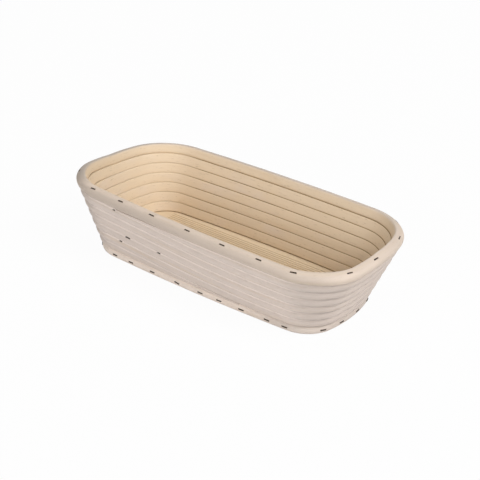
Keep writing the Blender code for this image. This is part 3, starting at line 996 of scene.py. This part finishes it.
WALL_STAPLE_LEG = 0.0075
WALL_STAPLE_SINK = 0.0003
WALL_STAPLE_LEAN = math.radians(55.0)
CLIMB_AHEAD = 0.01
WALL_STAPLE_PLACES = (
    (0, 0.016, 0.00035),
    (1, 0.0305, 0.0),
    (1, 0.0712, 0.0003),
    (WALL_TURNS - 2, 0.0212, 0.00035),
)


def leaning(angle, lean):
    """Direction that leans outwards from the vertical at this place round the basket."""
    return math.sin(lean) * normal_at(angle) + Vector((0, 0, math.cos(lean)))


def wall_staple_places():
    """Seats on the climbs, by their turn, their distance before the climb's end and their depth."""
    places = []

    def climb_point(turn, share):
        return wall_point(climb_angle(share), turn + climbed(share))

    for turn, before_end, deeper in WALL_STAPLE_PLACES:
        share = 1 - before_end / CLIMB_LENGTH
        middle = climb_point(turn, share)
        ahead = climb_point(turn, share + CLIMB_AHEAD)
        outward = leaning(climb_angle(share), WALL_STAPLE_LEAN)
        seat = middle + (WALL_RADIUS + SEAT_GAP - deeper) * outward
        places.append((seat, ahead - middle, outward))
    return places


drive_staples(
    "wall_staples", wall_staple_places(), WALL_STAPLE_LEG, WALL_STAPLE_SINK, "wall_staple"
)


# Rim cane
# The thickest cane, bent once round on top of the wall to make a firm edge.
# Its ends are shaved to a long slant and lapped in the middle of the back.

RIM_RADIUS = 0.0055
RIM_STEP_OUT = 0.0034
RIM_OUT = TOP_LEVEL * WALL_STEP_OUT + RIM_STEP_OUT
TOP_TURN_Z = FIRST_TURN_Z + TOP_LEVEL * WALL_STEP_UP
RIM_Z = TOP_TURN_Z + math.sqrt((RIM_RADIUS + WALL_RADIUS + SEAT_GAP) ** 2 - RIM_STEP_OUT**2)
RIM_JOINT_X = 0.006
RIM_JOINT_LENGTH = 0.027
RIM_INNER_HALF_HEIGHT = 1.06 * RIM_RADIUS
RIM_FLATNESS = 5.0
RIM_OUTSIDE = (0.660, 0.550, 0.460, 1)
RIM_INSIDE = (0.760, 0.615, 0.445, 1)
RIM_TOP_WARMTH = 0.15
RIM_SEAMS = (0.4, 0.0)
# Painted grey shade on the rim's top at the left end and back, and on its front outside.
GREY_SHADE_SHARES = (0.58, 0.58, 0.58)
GREY_UP = (0.40, 0.85)
GREY_OUT = (-0.2, 0.5)
GREY_LEFT_X = (0.125, 0.160)
GREY_LEFT_Y = (0.010, 0.050)
GREY_LEFT = 0.6
GREY_BACK_Y = (0.055, 0.080)
GREY_BACK_X = (-0.030, 0.090)
GREY_BACK = (0.74, 0.41)
GREY_FRONT_Y = (0.050, 0.070)
GREY_FRONT_X = (-0.120, 0.120)
GREY_FRONT = (0.50, 0.29)
# Painted light on the rim's right end.
PALE_RIGHT_X = (0.145, 0.172)
PALE_RIGHT = 0.6


def rim_tints(spot):
    """Painted light on the rim: shade below, grey shade on top and in front, and light at the right
    end.
    """
    to_front = spot.y * -1
    top = spot.up.between(*GREY_UP)
    near_front = to_front.between(*GREY_LEFT_Y) * GREY_LEFT
    left = (spot.x * -1).between(*GREY_LEFT_X) * top.math("MAXIMUM", near_front)
    back = spot.y.between(*GREY_BACK_Y) * top * spot.x.between(*GREY_BACK_X).spread(*GREY_BACK)
    front = to_front.between(*GREY_FRONT_Y) * spot.x.between(*GREY_FRONT_X).spread(*GREY_FRONT)
    front *= (spot.inward * -1).between(*GREY_OUT)
    # Painted shade, grey, at the left end, the back and the front.
    grey_shade = left.math("MAXIMUM", back).math("MAXIMUM", front)
    return (
        (spot.underside() * UNDER_SHADE, toned(RIM_OUTSIDE, SHADE_SHARES)),
        (grey_shade, toned(RIM_OUTSIDE, GREY_SHADE_SHARES)),
        (spot.x.between(*PALE_RIGHT_X) * PALE_RIGHT, toned(RIM_OUTSIDE, PALE_SHARES)),
    )


level_rim = jointed_ring(RIM_OUT, RIM_Z, RIM_JOINT_X, RIM_JOINT_LENGTH)
rim_points = [settled(point) for point in level_rim]
rim = grow(
    "rim_ring",
    bent_path(rim_points, [1.0] * len(rim_points)),
    bent_cane,
    cane_finish("rim_cane", RIM_OUTSIDE, RIM_INSIDE, RIM_TOP_WARMTH, RIM_SEAMS, rim_tints),
    sides=CANE_SIDES,
    half_width=RIM_RADIUS,
    half_height=RIM_RADIUS,
    inner_half_height=RIM_INNER_HALF_HEIGHT,
    inner_squareness=RIM_FLATNESS,
    outer_squareness=ROUND,
    lean=-WALL_LEAN,
    unevenness=CANE_UNEVENNESS,
)
rim_joint = plan_point(back_angle(RIM_JOINT_X), RIM_OUT) + Vector((0, 0, RIM_Z))
shave_ends(rim, rim_joint, RIM_JOINT_LENGTH, 2 * RIM_RADIUS)
place(rim, "rim_cane", "rim_cane")


# Rim staples
# Longer staples, driven from above and a little from outside, through the rim into the top turn.
# At the back and the left end they lean further out and lie almost flush.

RIM_STAPLE_FIRST_X = 0.0035
RIM_STAPLE_DRIFTS = (
    *(0.0035, 0.0022, 0.0009, -0.0054, 0.0037, -0.0032, 0.0051),
    *(-0.0013, 0.0024, 0.0006, -0.0028, 0.0019, 0.0010, -0.0022),
    *(0.0014, 0.0030, -0.0016, 0.0008, 0.0068, 0.0026, 0.0013),
)
RIM_STAPLE_LEAN = math.radians(22.0)
RIM_STAPLE_LEG = 0.0171
RIM_STAPLE_SINK = 0.0004
RIM_STAPLE_LEAN_AT_BACK = math.radians(35.0)
RIM_STAPLE_SINK_AT_BACK = 0.0009


def rim_staple_places():
    places = []
    for angle in spaced_angles(RIM_OUT, RIM_STAPLE_FIRST_X, RIM_STAPLE_DRIFTS):
        middle = settled(plan_point(angle, RIM_OUT) + Vector((0, 0, RIM_Z)))
        at_back = (middle.y > 0 or middle.x < -BASE_HALF_LENGTH) and middle.x < BASE_HALF_LENGTH
        outward = leaning(angle, RIM_STAPLE_LEAN_AT_BACK if at_back else RIM_STAPLE_LEAN)
        deeper = RIM_STAPLE_SINK_AT_BACK - RIM_STAPLE_SINK if at_back else 0.0
        seat = middle + (RIM_RADIUS + SEAT_GAP - deeper) * outward
        places.append((seat, along_at(angle), outward))
    return places


drive_staples("rim_staples", rim_staple_places(), RIM_STAPLE_LEG, RIM_STAPLE_SINK, "rim_staple")


# Studio
# A wide pale floor in a white room, under large soft lamps: two low in front, one high on the
# right, one above and a weaker one low behind, at a level that shows a colour about as it is.

FLOOR_DROP = 0.0004
FLOOR_HALF = 4.0
FLOOR_COLOUR = (0.80, 0.80, 0.80, 1)
FLOOR_ROUGHNESS = 0.9
FLOOR_WHITE_SHARE = 0.96
ROOM_LIGHT = 0.03
LAMP_DISTANCE = 4.0
LAMP_SIZE = 2.5
LAMPS = (
    ("low_right_lamp", Vector((0.57, -0.80, 0.30)), 22.0),
    ("low_front_lamp", Vector((0.0, -0.95, 0.30)), 67.0),
    ("right_lamp", Vector((0.75, 0.05, 0.75)), 106.0),
    ("top_lamp", Vector((0.0, -0.05, 1.0)), 36.0),
    ("low_back_lamp", Vector((-0.55, 0.80, 0.28)), 34.0),
)


def seen_directly(start):
    """1 for what is looked at, mirrored or seen through something clear, 0 for what only lights."""
    camera_ray = start.add("ShaderNodeLightPath", out="Is Camera Ray")
    seen = camera_ray.math("MAXIMUM", camera_ray.other("Is Glossy Ray"))
    return seen.math("MAXIMUM", camera_ray.other("Is Transmission Ray"))


def floor_finish():
    """Matt white, brightened for the eye so that only the basket's own shadow shows."""
    material, start, shader = new_finish("pale_floor")
    shader.inputs["Base Color"].default_value = FLOOR_COLOUR
    shader.inputs["Roughness"].default_value = FLOOR_ROUGHNESS
    seen = seen_directly(start)
    white = start.add("ShaderNodeEmission", None, {"Strength": 1.0})
    matt = Wire(start.tree, shader.outputs["BSDF"])
    shown = start.add("ShaderNodeMixShader", None, {0: seen * FLOOR_WHITE_SHARE, 1: matt, 2: white})
    surface = start.tree.nodes["Material Output"].inputs["Surface"]
    start.tree.links.new(shown.socket, surface)
    return material


def floor_plane():
    shape = bmesh.new()
    bmesh.ops.create_grid(shape, size=FLOOR_HALF, matrix=Matrix.Translation((0, 0, -FLOOR_DROP)))
    mesh = bpy.data.meshes.new("floor")
    shape.to_mesh(mesh)
    shape.free()
    mesh.materials.append(floor_finish())
    return add_object("floor", mesh)


def soft_lamp(name, direction, power):
    light = bpy.data.lights.new(name, "AREA")
    light.shape = "DISK"
    light.size = LAMP_SIZE
    light.energy = power
    lamp = add_object(name, light)
    lamp.location = direction.normalized() * LAMP_DISTANCE
    lamp.rotation_euler = direction.to_track_quat("Z", "Y").to_euler()


def white_room():
    """Even white surroundings: bright where they are seen, and a faint light everywhere else."""
    world = bpy.data.worlds.new("room")
    world.use_nodes = True
    start = Wire(world.node_tree)
    strength = seen_directly(start).spread(ROOM_LIGHT, 1.0)
    background = world.node_tree.nodes["Background"]
    background.inputs["Color"].default_value = (1, 1, 1, 1)
    world.node_tree.links.new(strength.socket, background.inputs["Strength"])
    return world


floor_plane()
for lamp_name, lamp_from, lamp_power in LAMPS:
    soft_lamp(lamp_name, lamp_from, lamp_power)
bpy.context.scene.world = white_room()
bpy.context.scene.view_settings.view_transform = "Standard"


# Camera
# Above the front right of the basket, held with a slight turn about its own axis.

VIEW_AZIMUTH = math.radians(35.277)
VIEW_ELEVATION = math.radians(27.05)
VIEW_ROLL = math.radians(3.281)
VIEW_DISTANCE = 1.12386
VIEW_AIM = Vector((0.01251, -0.00445, 0.04174))
FOCAL_PIXELS = 1091.3
IMAGE_PIXELS = 480
SENSOR_WIDTH = 36.0

back = Vector(
    (
        math.sin(VIEW_AZIMUTH) * math.cos(VIEW_ELEVATION),
        -math.cos(VIEW_AZIMUTH) * math.cos(VIEW_ELEVATION),
        math.sin(VIEW_ELEVATION),
    )
)
lens = bpy.data.cameras.new("camera")
lens.sensor_width = SENSOR_WIDTH
lens.lens = FOCAL_PIXELS * SENSOR_WIDTH / IMAGE_PIXELS
camera = add_object("camera", lens)
camera.location = VIEW_AIM + back * VIEW_DISTANCE
camera.rotation_mode = "QUATERNION"
camera.rotation_quaternion = back.to_track_quat("Z", "Y") @ Quaternion((0, 0, 1), VIEW_ROLL)
bpy.context.scene.camera = camera
